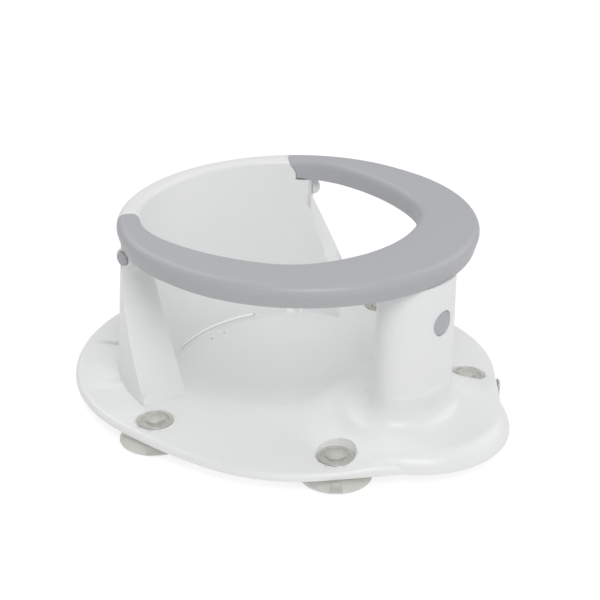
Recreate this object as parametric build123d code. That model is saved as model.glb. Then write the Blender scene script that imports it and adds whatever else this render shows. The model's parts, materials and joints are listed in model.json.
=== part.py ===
from build123d import *
from math import cos, radians, sin, sqrt
import os

# Baby bath seat: a white moulded seat (base, backrest and front column in one piece),
# a grey safety ring that lifts off three sockets, three push buttons that free it,
# and four suction cups. Millimetres, +Z up, the child faces -Y, the floor is Z = 0.
# The origin is on the floor, in the middle of the base.

# Base
base_length = 365.0
base_width = 307.0
base_back_nose = (158.0, 45.0)
base_top = 14.7
rim_underside = 9.6
base_edge_radius = 4.0
wall = 2.6
side_bow_radius = 400.0
side_bow_turn = 11.3
corner_radius = 124.0
corner_turn = 39.3
front_run = 62.0
lobe_radius = 71.3
lobe_top = 22.6
notch_radius = 9.0

# Seat pan
pan_y = 32.5
pan_radius = 84.0
pan_depth = 7.5
drain_hole_radius = 1.2
drain_hole_x = 7.0
drain_hole_y = 90.0

# Backrest, a hollow double skin open underneath
rim_top = 144.5
outer_foot_half_width = 125.0
outer_foot_back = 149.0
inner_foot_half_width = 91.0
inner_foot_back = 97.5
inner_foot_nose = (104.0, 45.0)
inner_top_half_width = 99.3
inner_top_back = 119.9
inner_top_nose = (124.0, 27.0)
rim_outer_radius = 6.0
rim_inner_radius = 5.0
drain_slot_half_width = 43.0
drain_slot_height = 3.0
drain_slot_z = 15.6
drain_slot_depth = 22.0

# Front faces of the backrest's two posts, given on the right-hand side
post_corner_x = 105.5
post_corner_y = 79.8
post_turn_top = 36.0
post_foot_x = 128.6
post_foot_y = 43.0
post_turn_foot = 14.0
neck_foot_z = 106.2

# Column between the legs
column_y = -110.0
column_half_width = 36.0
column_top_half_width = 32.5
column_half_depth = 24.0
flare_back = 26.0
flare_side = 15.0
flare_front = 10.0

# Safety ring
ring_width = 266.4
ring_front = -136.1
ring_back = 137.0
ring_lean = 4.5
ring_front_nose = (118.0, 9.0)
ring_back_nose = (140.0, 33.0)
ring_inner_front = -82.8
ring_inner_nose = (110.0, 32.0)
ring_inner_corner = (62.0, 30.0)
ring_height = 16.0
ring_outer_radius = 6.0
ring_inner_radius = 6.0
ring_wall = 2.5
ring_floor = 2.0
ring_end_x = 90.9
ring_end_y = 85.0
ring_end_turn = 38.0
scarf_foot = 4.7
scarf_lean = 7.0

# Fits between separate pieces
clearance = 0.3
cover_play = 0.2

# Ring plugs and their sockets
side_plug_x = 91.4
side_plug_y = 79.3
side_plug_width = 6.2
side_plug_depth = 5.4
side_plug_length = 23.0
front_plug_offset = 3.0
front_plug_width = 42.0
front_plug_depth = 19.0
front_plug_length = 44.0
socket_floor = 1.6

# Push buttons, each in a bore whose narrow mouth holds the bead of its cap
side_button_z = 118.0
side_button_radius = 5.2
side_button_face = 107.4
side_button_travel = 2.0
side_boss_face = 105.6
side_boss_radius = 7.4
side_chamber_floor = 100.0
side_stem_radius = 1.5
front_button_z = 98.0
front_button_radius = 9.3
front_button_recess = 0.8
front_button_travel = 3.0
front_chamber_depth = 14.8
front_stem_radius = 2.0
mouth_length = 1.6
bead_height = 0.5
bead_length = 1.1
cap_wall = 1.3
spring_wire_radius = 0.35
spring_turns = 3

# Latch tongues, whose nibs stand in the stem holes
tongue_thickness = 1.4
tongue_play = 0.3
side_tongue_width = 3.0
front_tongue_width = 6.0
side_nib_radius = 1.2
front_nib_radius = 1.5
nib_reach = 1.2
tongue_screw_radius = 0.8
tongue_screw_head_radius = 1.4
tongue_screw_head_height = 0.8
tongue_screw_length = 3.4

# Screws that join the ring's halves
screw_radius = 1.5
screw_head_radius = 2.8
screw_head_height = 1.4
screw_length = 9.0
screw_boss_radius = 3.6
screw_places = [(0.0, -92.5), (65.0, -92.0), (107.0, -41.0), (113.5, 26.5)]

# Suction cups
rear_cup_x = 131.2
rear_cup_y = 23.3
front_cup_x = 79.0
front_cup_y = -104.9
cup_radius = 26.3
cup_lip = 1.0
cup_rim_width = 1.4
cup_collar = 4.0
cup_head_radius = 12.8
cup_head_height = 2.4
cup_knob_radius = 8.3
cup_knob_height = 2.0
cup_stem_radius = 4.6
well_depth = 2.4
well_play = 1.4
tab_foot_width = 9.0
tab_tip_width = 6.0
tab_thickness = 1.4
tab_inset = 0.4
rear_tab_turn = 222.0
front_tab_turn = -42.0

# Places that follow from the sizes above
ring_under = rim_top - ring_height
seat_top = ring_under - clearance
lobe_y = lobe_radius - base_length / 2
column_front = column_y - column_half_depth
front_plug_y = column_y + front_plug_offset
front_chamber_floor = column_front + front_chamber_depth
well_floor = base_top - well_depth
cup_places = {
    "rear_right": (rear_cup_x, rear_cup_y, 180 - rear_tab_turn),
    "rear_left": (-rear_cup_x, rear_cup_y, rear_tab_turn),
    "front_right": (front_cup_x, front_cup_y, front_tab_turn),
    "front_left": (-front_cup_x, front_cup_y, 180 - front_tab_turn),
}


def both(shape):
    """A shape on the right-hand side together with its mirror image."""
    return shape + mirror(shape, about=Plane.YZ)


def quarter(nose_y, arcs, half_width, turn):
    """Arcs from a nose on the centre line to the widest point; the width sets the last radius."""
    edges = []
    point = Vector(0, nose_y)
    heading = 0.0
    for radius, sweep_angle in arcs:
        tangent = Vector(cos(radians(heading)), turn * sin(radians(heading)))
        edges.append(JernArc(point, tangent, radius, turn * sweep_angle))
        point = edges[-1] @ 1
        heading += sweep_angle
    last_radius = (half_width - point.X) / (1 - sin(radians(heading)))
    tangent = Vector(cos(radians(heading)), turn * sin(radians(heading)))
    edges.append(JernArc(point, tangent, last_radius, turn * (90 - heading)))
    return edges


def oval(half_width, front, front_arcs, back, back_arcs, z, grow=0.0):
    """A closed egg outline at height z, offset outwards by grow."""
    front_edges = quarter(front - grow, [(r + grow, a) for r, a in front_arcs], half_width + grow, 1)
    back_edges = quarter(back + grow, [(r + grow, a) for r, a in back_arcs], half_width + grow, -1)
    half = [*front_edges, Line(front_edges[-1] @ 1, back_edges[-1] @ 1), *back_edges]
    whole = Wire(half + [edge.mirror(Plane.YZ) for edge in half])
    return Pos(0, 0, z) * Face(whole)


def blend(low, high, share):
    return low + (high - low) * share


def outer_skin(z, grow=0.0):
    """Plan of the backrest's outer skin at height z, up to the rim's band."""
    share = (z - base_top) / (ring_under - base_top)
    half_width = blend(outer_foot_half_width, ring_width / 2 - ring_lean, share)
    back = blend(outer_foot_back, ring_back - ring_lean, share)
    nose = [(blend(outer_foot_half_width, ring_back_nose[0] - ring_lean, share), ring_back_nose[1])]
    return oval(half_width, back - 2 * half_width - 20, nose, back, nose, z, grow)


def rim_band(z, grow=0.0):
    """Plan of the backrest's rim, which carries on the ring's leaning side."""
    half_width = ring_width / 2
    front = ring_back - ring_width - 20
    return oval(half_width, front, [ring_back_nose], ring_back, [ring_back_nose], z, grow - lean_in(z))


def inner_skin(z, grow=0.0):
    """Plan of the backrest's inner skin at height z."""
    share = (z - base_top) / (rim_top - base_top)
    half_width = blend(inner_foot_half_width, inner_top_half_width, share)
    back = blend(inner_foot_back, inner_top_back, share)
    nose_radius = blend(inner_foot_nose[0], inner_top_nose[0], share)
    nose_turn = blend(inner_foot_nose[1], inner_top_nose[1], share)
    front_nose = [(half_width - 2, 40)]
    return oval(half_width, -half_width, front_nose, back, [(nose_radius, nose_turn)], z, grow)


def lean_in(z):
    """How far the ring's outer side leans in at height z."""
    return ring_lean * (rim_top - z) / ring_height


def ring_outer(z, grow=0.0):
    nose, back_nose = [ring_front_nose], [ring_back_nose]
    return oval(ring_width / 2, ring_front, nose, ring_back, back_nose, z, grow - lean_in(z))


def ring_inner(z, grow=0.0):
    front_arcs = [ring_inner_nose, ring_inner_corner]
    back_arcs = [inner_top_nose]
    return oval(inner_top_half_width, ring_inner_front, front_arcs, inner_top_back, back_arcs, z, grow)


def slab(outline, low, high):
    """A prism between two heights on a flat outline."""
    return extrude(Pos(0, 0, low - outline.center().Z) * outline, high - low, dir=(0, 0, 1))


def bar(x, y, low, high, width, depth):
    return Pos(x, y, (low + high) / 2) * Box(width, depth, high - low)


def peg(x, y, low, high, radius):
    return slab(Pos(x, y) * Circle(radius), low, high)


def post_front(back_off):
    """What lies in front of the right post's front face, which twists and leans forward to its foot."""
    sections = []
    for z in (0.0, neck_foot_z, rim_top + 5):
        share = max(neck_foot_z - z, 0) / (neck_foot_z - base_top)
        turn = radians(blend(post_turn_top, post_turn_foot, share))
        x = blend(post_corner_x, post_foot_x, share)
        y = blend(post_corner_y, post_foot_y, share)
        along = Vector(cos(turn), sin(turn))
        start = Vector(x, y, z) + Vector(-sin(turn), cos(turn)) * back_off
        line = [start + along * 60, start - along * 170]
        ahead = [point - Vector(0, 300, 0) for point in reversed(line)]
        sections.append(Face(Wire.make_polygon(line + ahead, close=True)))
    return loft(sections[:2], ruled=True) + loft(sections[1:], ruled=True)


def ring_end_prism(gap, low, high, behind):
    """Space behind the right end of the ring, or above the post's seat ahead of the rim's scarf."""
    turn = radians(ring_end_turn)
    plane = Plane(
        origin=(ring_end_x, ring_end_y, 0),
        x_dir=(-sin(turn), cos(turn), 0),
        z_dir=(cos(turn), sin(turn), 0),
    )
    corner = ring_under + scarf_foot
    reach = scarf_lean * (high - corner) / (rim_top - corner)
    face = [(gap, low), (gap, corner), (gap + reach, high)]
    far = 160 if behind else -60
    outline = Polyline(*face, (far, high), (far, low), close=True)
    start, length = (-100, 165) if behind else (-40, 80)
    return extrude(plane.offset(start) * make_face(outline), length)


def round_rim(shape, z, outer_radius, inner_radius):
    """Round the outer and the inner edge of a level top face."""
    for radius, inner in ((outer_radius, False), (inner_radius, True)):
        top = shape.faces().sort_by(Axis.Z)[-1]
        wire = top.inner_wires()[0] if inner else top.outer_wire()
        level = [e for e in shape.edges() if abs(e.center().Z - z) < 1e-4]
        shape = fillet([e for e in level if wire.distance_to(e @ 0.5) < 1e-4], radius)
    return shape


def base_outline():
    """Plan of the base: a round back, bowed sides and a corner round each front cup."""
    half = quarter(base_length / 2, [base_back_nose], base_width / 2, -1)
    bow = JernArc(half[-1] @ 1, half[-1] % 1, side_bow_radius, -side_bow_turn)
    corner = JernArc(bow @ 1, bow % 1, corner_radius, -corner_turn)
    run = Line(corner @ 1, (corner @ 1) + (corner % 1) * front_run)
    half += [bow, corner, run]
    mirrored = [edge.mirror(Plane.YZ) for edge in half]
    return Face(Wire([*mirrored, Line(mirrored[-1] @ 1, run @ 1), *half]))


def lobe(inset):
    """The raised round lobe that carries the column, with a quarter-round edge."""
    low = rim_underside - 8
    high = lobe_top - inset
    drum = slab(Pos(0, lobe_y) * Circle(lobe_radius - inset), low, high)
    return fillet(drum.edges().sort_by(Axis.Z)[-1], lobe_top - rim_underside - inset)


def pan(drop):
    """The shallow round dish of the seat, or its underside when dropped by the wall."""
    radius = (pan_radius**2 + pan_depth**2) / (2 * pan_depth)
    ball = Pos(0, pan_y, base_top - pan_depth + radius) * Sphere(radius + drop)
    return ball & bar(0, pan_y, 0, base_top, 4 * pan_radius, 4 * pan_radius)


def flare(height, radius):
    """How far a concave foot of this radius still stands out at a height above its foot."""
    left = max(radius - height, 0)
    return radius - sqrt(radius**2 - left**2)


def column_section(height, z, inset):
    back = column_y + column_half_depth + flare(height, flare_back + inset) - inset
    front = column_front - flare(height, flare_front + inset) + inset
    half_width = column_half_width + flare(height, flare_side + inset) - inset
    half_width -= (column_half_width - column_top_half_width) * (z - lobe_top) / (seat_top - lobe_top)
    return Pos(0, (front + back) / 2, z) * Ellipse(half_width, (back - front) / 2).face()


def column(inset, top):
    """The oval column, which tapers upwards from a flared foot, or its core."""
    foot = lobe_top - inset
    foot_height = flare_back + inset
    steps = (0.0, 0.03, 0.12, 0.3, 0.6, 1.0)
    sections = [column_section(s * foot_height, foot + s * foot_height, inset) for s in steps]
    shaft = [sections[-1], column_section(foot_height, top, inset)]
    body = loft(sections) + loft(shaft, ruled=True)
    return body + slab(sections[0], foot - 4, foot) if inset else body


def backrest(inset):
    """The backrest as a solid between its two skins, or its core when inset by the wall."""
    low = rim_underside - 8 * (inset > 0)
    high = rim_top - inset
    sections = [outer_skin(low, -inset), outer_skin(ring_under, -inset), rim_band(high, -inset)]
    outer = loft(sections, ruled=True)
    inner = loft([inner_skin(low - 1, inset), inner_skin(high + 1, inset)], ruled=True)
    block = outer - inner
    block = round_rim(block, high, rim_outer_radius - inset, rim_inner_radius - inset)
    return block - both(post_front(inset))


def cup_well(x, y):
    """Space of one suction cup's head and stem in the base."""
    head = peg(x, y, well_floor, lobe_top, cup_head_radius + well_play)
    return head + peg(x, y, 0, well_floor, cup_stem_radius + clearance)


def rod(start, end, radius):
    """A round rod between two points."""
    line = Line(start, end)
    return extrude(Plane(origin=start, z_dir=line % 0) * Circle(radius), line.length)


def button_bore(chamber, mouth, radius, stem_hole, stem_radius):
    """A button's bore along +Z from its lip at the origin: mouth, wider chamber and stem hole."""
    bore = peg(0, 0, 0, mouth, radius + clearance)
    bore += peg(0, 0, -chamber, 0, radius + clearance + bead_height)
    return bore + peg(0, 0, -stem_hole, 0, stem_radius + clearance)


def side_place():
    return Plane(origin=(side_boss_face - mouth_length, side_plug_y, side_button_z), z_dir=(1, 0, 0))


def front_place():
    lip = column_front + front_button_recess + mouth_length
    return Plane(origin=(0, lip, front_button_z), z_dir=(0, -1, 0))


def side_socket():
    """The right post's socket with the bore of its button."""
    low = ring_under - side_plug_length - socket_floor
    width = side_plug_width + 2 * clearance
    depth = side_plug_depth + 2 * clearance
    pocket = bar(side_plug_x, side_plug_y, low, rim_top + 9, width, depth)
    lip = side_boss_face - mouth_length
    chamber, stem_hole = lip - side_chamber_floor, lip - side_plug_x
    bore = button_bore(chamber, 9, side_button_radius, stem_hole, side_stem_radius)
    return pocket + side_place() * bore


def front_socket():
    """The column's socket with the bore of its button."""
    low = ring_under - front_plug_length - socket_floor
    width = front_plug_width + 2 * clearance
    depth = front_plug_depth + 2 * clearance
    pocket = bar(0, front_plug_y, low, rim_top + 9, width, depth)
    lip = column_front + front_button_recess + mouth_length
    chamber, stem_hole = front_chamber_floor - lip, front_plug_y - lip
    bore = button_bore(chamber, 9, front_button_radius, stem_hole, front_stem_radius)
    return pocket + front_place() * bore


def seat_body():
    """Base, backrest and column moulded in one piece, hollow and open underneath."""
    outline = fillet_notches(base_outline() + Pos(0, lobe_y) * Circle(lobe_radius))
    plate = slab(outline, rim_underside, base_top)
    plate = fillet(plate.edges().group_by(Axis.Z)[-1], base_edge_radius)
    plate_fill = plate
    plate -= slab(offset(outline, -wall), rim_underside - 1, base_top - wall)
    under = bar(0, 0, -20, rim_underside, 500, 500)
    body = plate + pan(wall) - pan(0) - lobe(wall)
    mound = lobe(0) - under
    body += mound - lobe(wall)
    for x, y, _ in cup_places.values():
        cup_wall = peg(x, y, rim_underside, lobe_top, cup_head_radius + well_play + wall)
        body += cup_wall & (plate_fill + mound)
    body += column(0, seat_top) + backrest(0)
    neck = both(bar(side_plug_x, side_plug_y, neck_foot_z - 8, rim_top, 60, 60))
    neck &= both(ring_end_prism(wall + clearance, 0, rim_top + 5, False))
    body -= backrest(wall) - neck
    body -= column(wall, ring_under - front_plug_length - socket_floor - wall)
    body -= both(ring_end_prism(clearance, seat_top, rim_top + 5, False))
    boss_start = (side_plug_x + 6, side_plug_y, side_button_z)
    boss_end = (side_boss_face, side_plug_y, side_button_z)
    body += both(rod(boss_start, boss_end, side_boss_radius))
    body -= both(side_socket()) + front_socket()
    for x, y, _ in cup_places.values():
        body -= cup_well(x, y)
    drain_low = drain_slot_z - drain_slot_height / 2
    drain_high = drain_low + drain_slot_height
    slot = bar(0, inner_foot_back - 5, drain_low, drain_high, 2 * drain_slot_half_width, drain_slot_depth)
    return body - slot - both(peg(drain_hole_x, drain_hole_y, 0, base_top, drain_hole_radius))


def fillet_notches(outline):
    """Round the two inner corners where the lobe meets the plate."""
    corners = [v for v in outline.vertices() if abs(v.X) < lobe_radius and v.Y < 0]
    return fillet(corners, notch_radius)


def ring_solid(inset):
    """The ring's outside with its rounded top, or its core when inset by the wall."""
    high = rim_top - inset
    low = ring_under - (inset > 0)
    outer = loft([ring_outer(low, -inset), ring_outer(high, -inset)], ruled=True)
    solid = outer - slab(ring_inner(0, inset), low - 1, high + 1)
    solid = round_rim(solid, high, ring_outer_radius - inset, ring_inner_radius - inset)
    whole = bar(0, 0, low - 1, high + 1, 400, 400)
    return solid & (whole - both(ring_end_prism(-inset, low - 2, high + 2, True)))


def screw_pegs(low, high, radius):
    """A peg at each of the ring's screws."""
    pegs = Part()
    for x, y in screw_places:
        pegs += both(peg(x, y, low, high, radius)) if x else peg(x, y, low, high, radius)
    return pegs


def ring_top_cover():
    """The ring's upper shell, open underneath, with the bosses its screws bite into."""
    cover = ring_solid(0) - ring_solid(ring_wall)
    boss_foot = ring_under + ring_floor + clearance
    cover += screw_pegs(boss_foot, rim_top - ring_wall / 2, screw_boss_radius)
    return cover - screw_pegs(ring_under, ring_under + screw_length + clearance, screw_radius)


def side_tongue_box(play):
    """Blade of the right tongue, or the recess it hangs in when given play."""
    face = side_plug_x + side_plug_width / 2
    low, high = ring_under - side_plug_length + 1, ring_under - 1
    inside = face - tongue_thickness
    blade = bar(face - tongue_thickness / 2, side_plug_y, low, high, tongue_thickness, side_tongue_width)
    if not play:
        return blade
    width = side_tongue_width + 2 * play
    bend_depth = side_button_travel + tongue_thickness + 2
    bend = bar(face + 2 - bend_depth / 2, side_plug_y, low - 2, side_button_z + 4, bend_depth, width)
    slot_depth = face + 2 - inside + play
    return bend + bar(face + 2 - slot_depth / 2, side_plug_y, low, high + play, slot_depth, width)


def front_tongue_box(play):
    """Blade of the front tongue, or the recess it hangs in when given play."""
    face = front_plug_y - front_plug_depth / 2
    low, high = front_button_z - 8, ring_under - 1
    blade = bar(0, face + tongue_thickness / 2, low, high, front_tongue_width, tongue_thickness)
    if not play:
        return blade
    width = front_tongue_width + 2 * play
    bend_depth = front_button_travel + tongue_thickness + 2
    bend = bar(0, face - 2 + bend_depth / 2, low - 2, front_button_z + 10, width, bend_depth)
    slot_depth = tongue_thickness + play + 2
    return bend + bar(0, face - 2 + slot_depth / 2, low, high + play, width, slot_depth)


def side_tongue_screw_place():
    return Plane(origin=(side_plug_x + side_plug_width / 2, side_plug_y, ring_under - 3.2), z_dir=(1, 0, 0))


def front_tongue_screw_place():
    return Plane(origin=(0, front_plug_y - front_plug_depth / 2, ring_under - 6), z_dir=(0, -1, 0))


def side_tongue():
    """The right latch tongue with its nib and its screw hole."""
    face = side_plug_x + side_plug_width / 2
    wall_face = face + clearance
    y, z = side_plug_y, side_button_z
    nib = rod((face - 0.5, y, z), (wall_face + nib_reach, y, z), side_nib_radius)
    tongue = side_tongue_box(0) + nib
    return tongue - side_tongue_screw_place() * tongue_screw_space()


def front_tongue():
    """The front latch tongue with its nib and its screw hole."""
    face = front_plug_y - front_plug_depth / 2
    wall_face = face - clearance
    z = front_button_z
    nib = rod((0, face + 0.5, z), (0, wall_face - nib_reach, z), front_nib_radius)
    tongue = front_tongue_box(0) + nib
    return tongue - front_tongue_screw_place() * tongue_screw_space()


def tongue_screw_space():
    """Hole and counterbore of a tongue's screw, with its head sunk flush."""
    sunk = -tongue_screw_head_height
    shank = peg(0, 0, sunk - 9, sunk, tongue_screw_radius + 0.1)
    return shank + peg(0, 0, sunk, 1, tongue_screw_head_radius + 0.2)


def tongue_screws():
    """Three small screws, each flush in its tongue."""
    sunk = tongue_screw_head_height
    screw = peg(0, 0, -sunk, -0.05, tongue_screw_head_radius)
    screw += peg(0, 0, -sunk - tongue_screw_length, -sunk, tongue_screw_radius)
    right = side_tongue_screw_place() * screw
    front = front_tongue_screw_place() * screw
    return Compound(children=[right, mirror(right, about=Plane.YZ), front])


def ring_bottom_cover():
    """The ring's floor inside the upper shell, with the three plugs."""
    inset = ring_wall + cover_play
    floor = ring_solid(inset) & bar(0, 0, ring_under, ring_under + ring_floor, 400, 400)
    side_low = ring_under - side_plug_length
    side = bar(side_plug_x, side_plug_y, side_low, ring_under, side_plug_width, side_plug_depth)
    side -= side_tongue_box(tongue_play)
    front_low = ring_under - front_plug_length
    front = bar(0, front_plug_y, front_low, ring_under, front_plug_width, front_plug_depth)
    front -= front_tongue_box(tongue_play)
    floor += both(side) + front
    pilot = peg(0, 0, -tongue_screw_head_height - tongue_screw_length, 0, tongue_screw_radius)
    floor -= both(side_tongue_screw_place() * pilot) + front_tongue_screw_place() * pilot
    floor -= screw_pegs(ring_under - 1, ring_under + 3, screw_radius + cover_play)
    return floor - screw_pegs(ring_under - 1, ring_under + screw_head_height, screw_head_radius + cover_play)


def ring_screws():
    """Screws that hold the ring's halves together, driven from below."""
    head_low = ring_under + 0.1
    head_high = ring_under + screw_head_height
    heads = screw_pegs(head_low, head_high, screw_head_radius)
    return heads + screw_pegs(head_high, ring_under + screw_length, screw_radius)


def button(radius, face, stem_end, stem_radius):
    """A push button along +Z: cap with a bead behind the lip at the origin, and a long stem."""
    back = -clearance - bead_length
    cap = peg(0, 0, back, face, radius)
    cap = fillet(cap.edges().sort_by(Axis.Z)[-1], 0.6)
    cap += peg(0, 0, back, -clearance, radius + bead_height)
    cap -= peg(0, 0, back, face - cap_wall, radius - cap_wall)
    return cap + peg(0, 0, stem_end, face - cap_wall, stem_radius)


def side_button():
    lip = side_boss_face - mouth_length
    nib_end = side_plug_x + side_plug_width / 2 + clearance + nib_reach
    face, stem_end = side_button_face - lip, nib_end + clearance - lip
    return side_place() * button(side_button_radius, face, stem_end, side_stem_radius)


def front_button():
    lip = column_front + front_button_recess + mouth_length
    nib_end = front_plug_y - front_plug_depth / 2 - clearance - nib_reach
    stem_end = lip - nib_end + clearance
    return front_place() * button(front_button_radius, mouth_length, stem_end, front_stem_radius)


def spring(low, high, mean_radius):
    """A coil spring between the floor of its bore and the inside of its cap, in half-turn arcs."""
    start = low + clearance + spring_wire_radius
    rise = (high - clearance - spring_wire_radius - start) / (2 * spring_turns)
    swell = sqrt(mean_radius**2 + rise**2 / 4)
    halves = []
    for step in range(2 * spring_turns):
        side = 1 if step % 2 == 0 else -1
        z = start + step * rise
        middle = (0, side * swell, z + rise / 2)
        halves.append(ThreePointArc((side * mean_radius, 0, z), middle, (-side * mean_radius, 0, z + rise)))
    path = Wire(halves)
    return sweep(Plane(origin=path @ 0, z_dir=path % 0) * Circle(spring_wire_radius), path=path)


def side_spring():
    lip = side_boss_face - mouth_length
    mean_radius = side_stem_radius + clearance + 2 * spring_wire_radius
    low, high = side_chamber_floor - lip, side_button_face - lip - cap_wall
    return side_place() * spring(low, high, mean_radius)


def front_spring():
    lip = column_front + front_button_recess + mouth_length
    mean_radius = front_button_radius - cap_wall - clearance - 2 * spring_wire_radius
    return front_place() * spring(lip - front_chamber_floor, mouth_length - cap_wall, mean_radius)


def suction_cup(x, y, turn):
    """A soft cup: rim on the floor, dome and stem below, round head with its knob above."""
    shoulder = rim_underside - clearance
    head_low = well_floor + clearance
    head_high = head_low + cup_head_height
    knob_high = head_high + cup_knob_height
    hollow_top = shoulder * 0.6
    inner_radius = cup_radius - cup_rim_width
    collar_radius = cup_stem_radius + cup_collar
    profile = [
        ThreePointArc((0, hollow_top), (inner_radius * 0.6, shoulder * 0.42), (inner_radius, 0)),
        Polyline((inner_radius, 0), (cup_radius, 0), (cup_radius, cup_lip)),
        ThreePointArc((cup_radius, cup_lip), (cup_radius * 0.75, shoulder * 0.66), (collar_radius, shoulder)),
        Polyline(
            (collar_radius, shoulder),
            (cup_stem_radius, shoulder),
            (cup_stem_radius, head_low),
            (cup_head_radius, head_low),
            (cup_head_radius, head_high),
            (cup_knob_radius, head_high),
            (cup_knob_radius, knob_high),
            (0, knob_high),
            (0, hollow_top),
        ),
    ]
    cup = revolve(Plane.XZ * make_face(profile), Axis.Z)
    return Pos(x, y) * Rot(0, 0, turn) * (cup + pull_tab(shoulder))


def pull_tab(top):
    """The upright flap on the cup's rim by which its suction is broken."""
    place = Plane(origin=(cup_radius - tab_inset, 0, 0), x_dir=(0, 1, 0), z_dir=(1, 0, 0))
    foot, tip = tab_foot_width / 2, tab_tip_width / 2
    flap = Polyline((-foot, 0), (foot, 0), (tip, top), (-tip, top), close=True)
    return extrude(place.offset(-tab_thickness) * make_face(flap), tab_thickness)


makers = {
    "seat_body": seat_body,
    "ring_top_cover": ring_top_cover,
    "ring_bottom_cover": ring_bottom_cover,
    "ring_screws": ring_screws,
    "right_latch_tongue": side_tongue,
    "left_latch_tongue": lambda: mirror(side_tongue(), about=Plane.YZ),
    "front_latch_tongue": front_tongue,
    "tongue_screws": tongue_screws,
    "right_button": side_button,
    "left_button": lambda: mirror(side_button(), about=Plane.YZ),
    "front_button": front_button,
    "right_button_spring": side_spring,
    "left_button_spring": lambda: mirror(side_spring(), about=Plane.YZ),
    "front_button_spring": front_spring,
}
for place, (x, y, turn) in cup_places.items():
    makers[f"{place}_suction_cup"] = lambda x=x, y=y, turn=turn: suction_cup(x, y, turn)

os.makedirs("parts", exist_ok=True)
for name, make in makers.items():
    export_step(make(), f"parts/{name}.step")
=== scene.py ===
import json
from math import hypot, radians, sqrt

import bmesh
import bpy
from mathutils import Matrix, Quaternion, Vector


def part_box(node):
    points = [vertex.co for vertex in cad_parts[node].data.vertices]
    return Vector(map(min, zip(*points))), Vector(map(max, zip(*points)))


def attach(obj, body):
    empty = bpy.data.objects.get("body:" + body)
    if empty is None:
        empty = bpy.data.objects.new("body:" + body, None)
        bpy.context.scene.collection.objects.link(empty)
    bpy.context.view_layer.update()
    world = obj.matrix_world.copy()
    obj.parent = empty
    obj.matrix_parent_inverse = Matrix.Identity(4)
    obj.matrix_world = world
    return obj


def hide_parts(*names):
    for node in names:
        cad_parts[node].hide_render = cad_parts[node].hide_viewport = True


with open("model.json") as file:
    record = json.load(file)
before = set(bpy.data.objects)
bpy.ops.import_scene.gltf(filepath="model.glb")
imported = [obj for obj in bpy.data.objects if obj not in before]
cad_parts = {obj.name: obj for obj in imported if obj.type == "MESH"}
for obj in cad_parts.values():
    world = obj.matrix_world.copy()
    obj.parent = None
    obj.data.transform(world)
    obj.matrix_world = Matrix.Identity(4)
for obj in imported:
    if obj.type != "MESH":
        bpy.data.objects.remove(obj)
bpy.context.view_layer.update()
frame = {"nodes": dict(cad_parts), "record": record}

# The camera stands in front of the seat on its left-hand side and looks down by about 26 degrees.
# Its place, roll and focal length come from the outlines of the base, the ring and the cup heads.
focal_length = 76.57
sensor_width = 36
camera_place = (-0.65932, -0.58698, 0.49488)
view_line = Vector((0.67405, 0.59959, -0.43146))
camera_roll = radians(0.42)

camera_data = bpy.data.cameras.new("camera")
camera_data.lens = focal_length
camera_data.sensor_width = sensor_width
camera = bpy.data.objects.new("camera", camera_data)
camera.location = camera_place
level_turn = view_line.to_track_quat("-Z", "Y")
camera.rotation_euler = (level_turn @ Quaternion((0, 0, 1), camera_roll)).to_euler()
bpy.context.collection.objects.link(camera)
bpy.context.scene.camera = camera
bpy.context.scene.view_settings.view_transform = "Standard"


class Socket:
    """A shader socket whose sums and products add Math nodes."""

    def __init__(self, finish, socket):
        self.finish = finish
        self.socket = socket

    def math(self, operation, other):
        return self.finish.node("ShaderNodeMath", {"operation": operation}, {0: self, 1: other})

    def __add__(self, other):
        return self.math("ADD", other)

    def __mul__(self, other):
        return self.math("MULTIPLY", other)


class Finish:
    """A material whose nodes are all added by one method."""

    def __init__(self, name):
        self.data = bpy.data.materials.new(name)
        self.data.use_nodes = True
        self.tree = self.data.node_tree
        self.tree.nodes.clear()
        self.output = self.tree.nodes.new("ShaderNodeOutputMaterial")

    def node(self, kind, settings=None, values=None, out=0):
        new = self.tree.nodes.new(kind)
        for name, value in (settings or {}).items():
            setattr(new, name, value)
        for name, value in (values or {}).items():
            socket = new.inputs[name]
            if isinstance(value, Socket):
                self.tree.links.new(value.socket, socket)
            else:
                socket.default_value = value
        return Socket(self, new.outputs[out])

    def noise(self, scale, detail):
        place = self.node("ShaderNodeTexCoord", out="Object")
        values = {"Vector": place, "Scale": scale, "Detail": detail}
        return self.node("ShaderNodeTexNoise", values=values)

    def mix(self, share, first, second):
        """Mix two colours by a share from 0 to 1."""
        values = {0: share, 6: (*first, 1), 7: (*second, 1)}
        return self.node("ShaderNodeMix", {"data_type": "RGBA"}, values, out=2)

    def surface(self, shader):
        self.tree.links.new(shader.socket, self.output.inputs["Surface"])
        return self.data


# The studio: a paper floor that glows so that the camera sees it as white, a pale sky,
# and large soft lamps that leave only a faint shadow under the base.
floor_size = 6
paper_colour = (0.86, 0.86, 0.86, 1)
glow_share = 0.6
glow_strength = 0.9
more_glow_for_camera = 0.32
sky_strength = 0.5

paper = Finish("white_paper")
matt = paper.node("ShaderNodeBsdfDiffuse", values={"Color": paper_colour})
seen = paper.node("ShaderNodeLightPath", out="Is Camera Ray")
strength = seen * more_glow_for_camera + glow_strength
glow = paper.node("ShaderNodeEmission", values={"Strength": strength})
paper.surface(paper.node("ShaderNodeMixShader", values={0: glow_share, 1: matt, 2: glow}))

bpy.ops.mesh.primitive_plane_add(size=floor_size, location=(0, 0, 0))
floor = bpy.context.active_object
floor.name = "floor"
floor.data.materials.append(paper.data)

world = bpy.data.worlds.new("studio")
world.use_nodes = True
sky = world.node_tree.nodes["Background"]
sky.inputs["Color"].default_value = (1, 1, 1, 1)
sky.inputs["Strength"].default_value = sky_strength
bpy.context.scene.world = world

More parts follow.
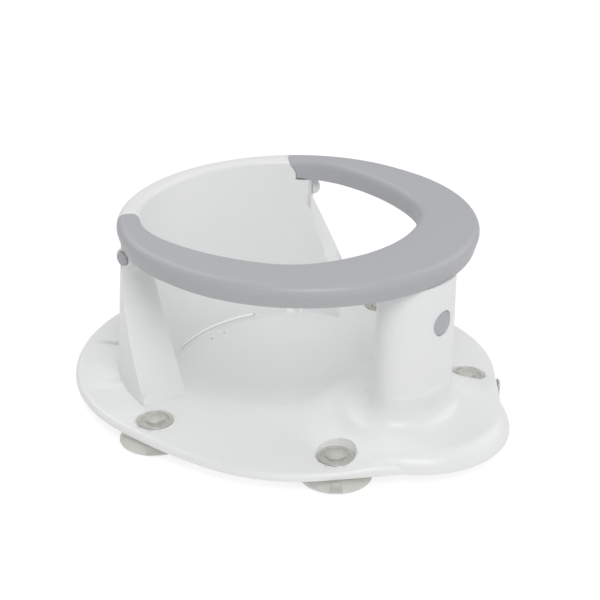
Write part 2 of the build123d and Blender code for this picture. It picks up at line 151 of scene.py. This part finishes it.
lamp_aim = Vector((0, 0, 0.05))
lamps = (
    # name, place, size in metres, power in watts
    ("key_lamp", (-1.0, -1.3, 1.9), 1.2, 24),
    ("fill_lamp", (1.5, -0.6, 1.2), 1.4, 7),
    ("back_lamp", (0.2, 1.5, 1.6), 1.4, 9),
)
for name, place, size, power in lamps:
    lamp_data = bpy.data.lights.new(name, "AREA")
    lamp_data.size = size
    lamp_data.energy = power
    lamp = bpy.data.objects.new(name, lamp_data)
    lamp.location = place
    lamp.rotation_euler = (lamp_aim - Vector(place)).to_track_quat("-Z", "Y").to_euler()
    bpy.context.collection.objects.link(lamp)


def dress(piece, material):
    """Give a piece its one material."""
    piece.data.materials.clear()
    piece.data.materials.append(material)


def single_out(piece):
    """Make a piece the active and only selected one."""
    bpy.ops.object.select_all(action="DESELECT")
    piece.select_set(True)
    bpy.context.view_layer.objects.active = piece


def join(piece, others):
    single_out(piece)
    for other in others:
        other.select_set(True)
    bpy.ops.object.join()


# Moulded plastic: faint clouding, a fine satin grain and a roughness that wanders a little.
# The scatter depths are those of red, green and blue light.
cloud_scale, cloud_detail, cloud_shade = 9.0, 3.0, 0.965
grain_detail, grain_strength, grain_depth = 2.0, 0.06, 0.0004
roughness_drift = 0.06
scatter_depths, scatter_scale = (0.02, 0.022, 0.021), 0.3


def moulded(name, colour, roughness, grain, translucency=0.0):
    finish = Finish(name)
    clouds = finish.noise(cloud_scale, cloud_detail)
    fine = finish.noise(grain, grain_detail)
    clouded = tuple(part * cloud_shade for part in colour)
    bump = finish.node("ShaderNodeBump", values={
        "Height": fine,
        "Strength": grain_strength,
        "Distance": grain_depth,
    })
    return finish.surface(finish.node("ShaderNodeBsdfPrincipled", values={
        "Base Color": finish.mix(clouds, clouded, colour),
        "Roughness": clouds * roughness_drift + roughness,
        "Normal": bump,
        "Subsurface Weight": translucency,
        "Subsurface Radius": scatter_depths,
        "Subsurface Scale": scatter_scale,
    }))


# The seat body is one white injection moulding with a satin skin: base, backrest and column.
# The solid's mound is a round lobe with a turned edge on the plate. Here it flows into the plate
# in a broad soft curve, from the crown radius down to the foot radius, worked into a merged copy.
# The curve fades out towards the front edge of the base.
seat_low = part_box("seat_body")[0]
base_top = 0.0147
pan_y, pan_radius, pan_depth = 0.0325, 0.084, 0.0075
lobe_radius, lobe_top, lobe_edge = 0.0713, 0.0226, 0.013
lobe_y = seat_low[1] + lobe_radius
mound_crown, mound_foot = 0.053, 0.092
mound_front_y, mound_back_y = -0.153, lobe_y + mound_foot
mound_fade = 0.030

# What counts as the skin that is lifted: faces of the upper side, outside the cups' wells.
skin_low, skin_high = 0.009, lobe_top + 0.0001
least_rise = 0.02
well_inside = 0.0142 - 0.0005
level_rise = 0.5
cut_step = 0.004
across, along = Vector((1, 0, 0)), Vector((0, 1, 0))


def smooth(share):
    """An S-shaped curve from 0 to 1."""
    share = min(max(share, 0), 1)
    return share * share * (3 - 2 * share)


def ground(x, y):
    """Height of the plate, or of the round dish of the seat in it."""
    ball = (pan_radius**2 + pan_depth**2) / (2 * pan_depth)
    away = hypot(x, y - pan_y)
    if away >= pan_radius:
        return base_top
    return base_top - pan_depth + ball - sqrt(ball**2 - away**2)


def mound_rise(x, y):
    """How far the broad curve of the mound stands above its turned edge."""
    out = hypot(x, y - lobe_y)
    level = ground(x, y)
    turned_edge = level
    if out < lobe_radius:
        beyond = max(out - lobe_radius + lobe_edge, 0)
        turned_edge = max(level, lobe_top - lobe_edge + sqrt(lobe_edge**2 - beyond**2))
    broad = level + (lobe_top - level) * smooth((mound_foot - out) / (mound_foot - mound_crown))
    return (broad - turned_edge) * smooth((y - mound_front_y) / mound_fade)


def steps(first, last):
    """Places from first to last, one cut apart."""
    return [first + cut_step * count for count in range(int((last - first) / cut_step) + 1)]


def soften_mound(mesh, cups):
    """Cut the skin round the mound into small faces and lift it to the broad curve."""
    work = bmesh.new()
    work.from_mesh(mesh)
    bmesh.ops.remove_doubles(work, verts=work.verts, dist=1e-6)
    work.normal_update()

    def is_skin(face):
        x, y, _ = face.calc_center_median()
        return (
            face.normal.z > least_rise
            and abs(x) < mound_foot
            and mound_front_y < y < mound_back_y
            and all(skin_low < vert.co.z < skin_high for vert in face.verts)
            and all(hypot(x - cup_x, y - cup_y) >= well_inside for cup_x, cup_y in cups)
        )

    def cut(faces, cuts):
        edges = (edge for face in faces for edge in face.edges)
        verts = (vert for face in faces for vert in face.verts)
        parts = {*faces, *edges, *verts}
        for normal, place in cuts:
            result = bmesh.ops.bisect_plane(
                work, geom=list(parts), dist=1e-7, plane_co=normal * place, plane_no=normal)
            parts = set(result["geom"])

    outline = [(across, -mound_foot), (across, mound_foot), (along, mound_back_y)]
    columns = [(across, x) for x in steps(-mound_foot, mound_foot)[1:]]
    rows = [(along, y) for y in steps(mound_front_y, mound_back_y)]
    cut([face for face in work.faces if face.normal.z > level_rise], outline)
    cut([face for face in work.faces if is_skin(face)], columns + rows)

    for vert in {vert for face in work.faces if is_skin(face) for vert in face.verts}:
        vert.co.z += mound_rise(vert.co.x, vert.co.y)
    bmesh.ops.triangulate(work, faces=[face for face in work.faces if len(face.verts) > 4])
    work.to_mesh(mesh)
    work.free()


joints = {joint["name"]: joint for joint in frame["record"]["behaviour"]["joints"]}
cup_centres = {
    node: joints[node.replace("_suction_cup", "_cup_turn")]["pos_m"][:2]
    for node in frame["nodes"] if node.endswith("suction_cup")
}

white_plastic = moulded("white_plastic", (0.83, 0.845, 0.835), 0.30, 1400, 0.2)
seat = bpy.data.objects.new("seat_moulding", frame["nodes"]["seat_body"].data.copy())
bpy.context.collection.objects.link(seat)
soften_mound(seat.data, cup_centres.values())
dress(seat, white_plastic)
single_out(seat)
bpy.ops.object.shade_smooth_by_angle(angle=radians(28))
flat = seat.modifiers.new("flat_faces_stay_flat", "WEIGHTED_NORMAL")
flat.keep_sharp = True
bpy.ops.object.modifier_apply(modifier=flat.name)
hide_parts("seat_body")
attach(seat, "seat")


# The safety ring is two grey satin mouldings screwed together, with three plugs underneath.
# The push buttons are moulded in the same grey. The latch tongues are natural white nylon, which
# bends again and again without breaking: each hangs in a recess of its plug, behind its button.
sides = ("right", "left", "front")
grey_plastic = moulded("grey_plastic", (0.435, 0.44, 0.46), 0.36, 1600)
for node in ("ring_top_cover", "ring_bottom_cover", *(side + "_button" for side in sides)):
    dress(frame["nodes"][node], grey_plastic)

nylon = moulded("natural_nylon", (0.76, 0.75, 0.70), 0.42, 1100, 0.15)
for side in sides:
    dress(frame["nodes"][side + "_latch_tongue"], nylon)


# The screws and the button springs are steel with a bright, slightly streaked zinc plating.
def plated_steel():
    finish = Finish("plated_steel")
    streaks = finish.noise(700.0, 4.0)
    broad = finish.noise(60.0, 2.0)
    return finish.surface(finish.node("ShaderNodeBsdfPrincipled", values={
        "Base Color": finish.mix(broad, (0.52, 0.53, 0.55), (0.68, 0.68, 0.67)),
        "Metallic": 1.0,
        "Roughness": streaks * 0.16 + 0.22,
    }))


steel = plated_steel()
for node, piece in frame["nodes"].items():
    if "screws" in node or "spring" in node:
        dress(piece, steel)


# Each suction cup is one piece of clear soft vinyl, a little yellow and smoky.
# Its stem goes up through the plate and its ringed head with a knob holds it in its well.
def clear_vinyl():
    finish = Finish("clear_vinyl")
    clouds = finish.noise(120.0, 2.0)
    return finish.surface(finish.node("ShaderNodeBsdfPrincipled", values={
        "Base Color": finish.mix(clouds, (0.80, 0.81, 0.75), (0.88, 0.88, 0.84)),
        "Roughness": clouds * 0.10 + 0.12,
        "Transmission Weight": 0.55,
        "IOR": 1.4,
        "Coat Weight": 0.3,
    }))


vinyl = clear_vinyl()
rim_r, head_r, knob_r, stem_r = 0.0263, 0.0128, 0.0072, 0.0046
head_low, head_high, knob_high, shoulder = 0.0126, 0.0150, 0.0168, 0.0092

# Radius and height of each ring of a cup: outwards under the vault, round the rim, up over the
# vault's back, the stem and the head, through the groove in the head and up to the knob.
cup_profile = (
    (0.0040, 0.0055), (0.0110, 0.0050), (0.0180, 0.0034), (0.0228, 0.0014), (0.0249, 0.0),
    (rim_r - 0.0003, 0.0), (rim_r, 0.0004), (rim_r - 0.0002, 0.0009), (0.0245, 0.0023),
    (0.0215, 0.0045), (0.0175, 0.0066), (0.0130, 0.0083), (0.0090, shoulder), (stem_r, shoulder),
    (stem_r, head_low), (head_r - 0.0003, head_low), (head_r, head_low + 0.0003),
    (head_r, head_high - 0.0005), (head_r - 0.0005, head_high), (head_r - 0.0016, head_high),
    (head_r - 0.0021, head_high - 0.0004), (head_r - 0.0024, head_low + 0.0010),
    (knob_r + 0.0010, head_low + 0.0008), (knob_r + 0.0002, head_low + 0.0012),
    (knob_r, knob_high - 0.0006), (knob_r - 0.0006, knob_high), (knob_r - 0.0016, knob_high),
    (knob_r - 0.0020, knob_high - 0.0003), (0.0030, knob_high - 0.0005),
)
cup_facets = 72

tab_low, tab_high, tab_thick = 0.0010, 0.0088, 0.0014
tab_foot, tab_tip = 0.0045, 0.0030
tab_bite = 0.0004
tab_tip_low = 0.008
tip_round, edge_round = 0.0022, 0.0002
ridge_heights = (0.0040, 0.0055, 0.0070)
ridge_radius, ridge_length, ridge_facets = 0.0003, 0.0050, 12


def turned(name, profile, x, y):
    """A round shell drawn up from a circle, ring by ring, and closed at both ends."""
    last_r, last_z = profile[0]
    bpy.ops.mesh.primitive_circle_add(
        vertices=cup_facets, radius=last_r, fill_type="TRIFAN", location=(x, y, last_z))
    piece = bpy.context.active_object
    piece.name = name
    bpy.ops.object.transform_apply()
    bpy.ops.object.mode_set(mode="EDIT")
    bpy.ops.mesh.select_all(action="SELECT")
    bpy.ops.mesh.region_to_loop()
    for r, z in profile[1:]:
        bpy.ops.mesh.extrude_region_move(TRANSFORM_OT_translate={"value": (0, 0, z - last_z)})
        bpy.ops.transform.resize(value=(r / last_r, r / last_r, 1), center_override=(x, y, z))
        last_r, last_z = r, z
    bpy.ops.mesh.fill()
    bpy.ops.mesh.select_all(action="SELECT")
    bpy.ops.mesh.normals_make_consistent(inside=False)
    bpy.ops.object.mode_set(mode="OBJECT")
    return piece


def flap():
    """The upright flap of a pull tab, narrower towards its rounded tip."""
    bpy.ops.mesh.primitive_cube_add(size=1, location=(0, 0, 0))
    piece = bpy.context.active_object
    middle = (tab_high + tab_low) / 2
    piece.scale = (tab_thick, 2 * tab_foot, tab_high - tab_low)
    piece.location = (rim_r - tab_bite - tab_thick / 2, 0, middle)
    bpy.ops.object.transform_apply()
    bpy.ops.object.mode_set(mode="EDIT")
    work = bmesh.from_edit_mesh(piece.data)
    for vert in work.verts:
        if vert.co.z > middle:
            vert.co.y *= tab_tip / tab_foot
    tips = [
        edge for edge in work.edges
        if all(vert.co.z > tab_tip_low for vert in edge.verts)
        and abs(edge.verts[0].co.y - edge.verts[1].co.y) < 1e-6
    ]
    for offset, segments, edges in ((tip_round, 6, tips), (edge_round, 2, work.edges)):
        bmesh.ops.bevel(
            work, geom=list(edges), offset=offset, segments=segments, profile=0.5, affect="EDGES")
    bmesh.update_edit_mesh(piece.data)
    bpy.ops.object.mode_set(mode="OBJECT")
    return piece


def grip_ridge(height):
    bpy.ops.mesh.primitive_cylinder_add(
        vertices=ridge_facets, radius=ridge_radius, depth=ridge_length, rotation=(radians(90), 0, 0))
    ridge = bpy.context.active_object
    ridge.location = (rim_r - tab_bite, 0, height)
    bpy.ops.object.transform_apply()
    return ridge


def pull_tab(x, y, turn):
    """The flap on a cup's rim with its three grip ridges."""
    piece = flap()
    join(piece, [grip_ridge(height) for height in ridge_heights])
    piece.rotation_euler = (0, 0, turn)
    piece.location = (x, y, 0)
    bpy.ops.object.transform_apply()
    return piece


for node, (x, y) in cup_centres.items():
    cup = turned(node.replace("suction", "vinyl"), cup_profile, x, y)
    tab_turn = radians(-42) if "right" in node else radians(222)
    join(cup, [pull_tab(x, y, tab_turn)])
    dress(cup, vinyl)
    bpy.ops.object.shade_smooth_by_angle(angle=radians(35))
    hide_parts(node)
    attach(cup, node.replace("_suction_cup", "_cup"))
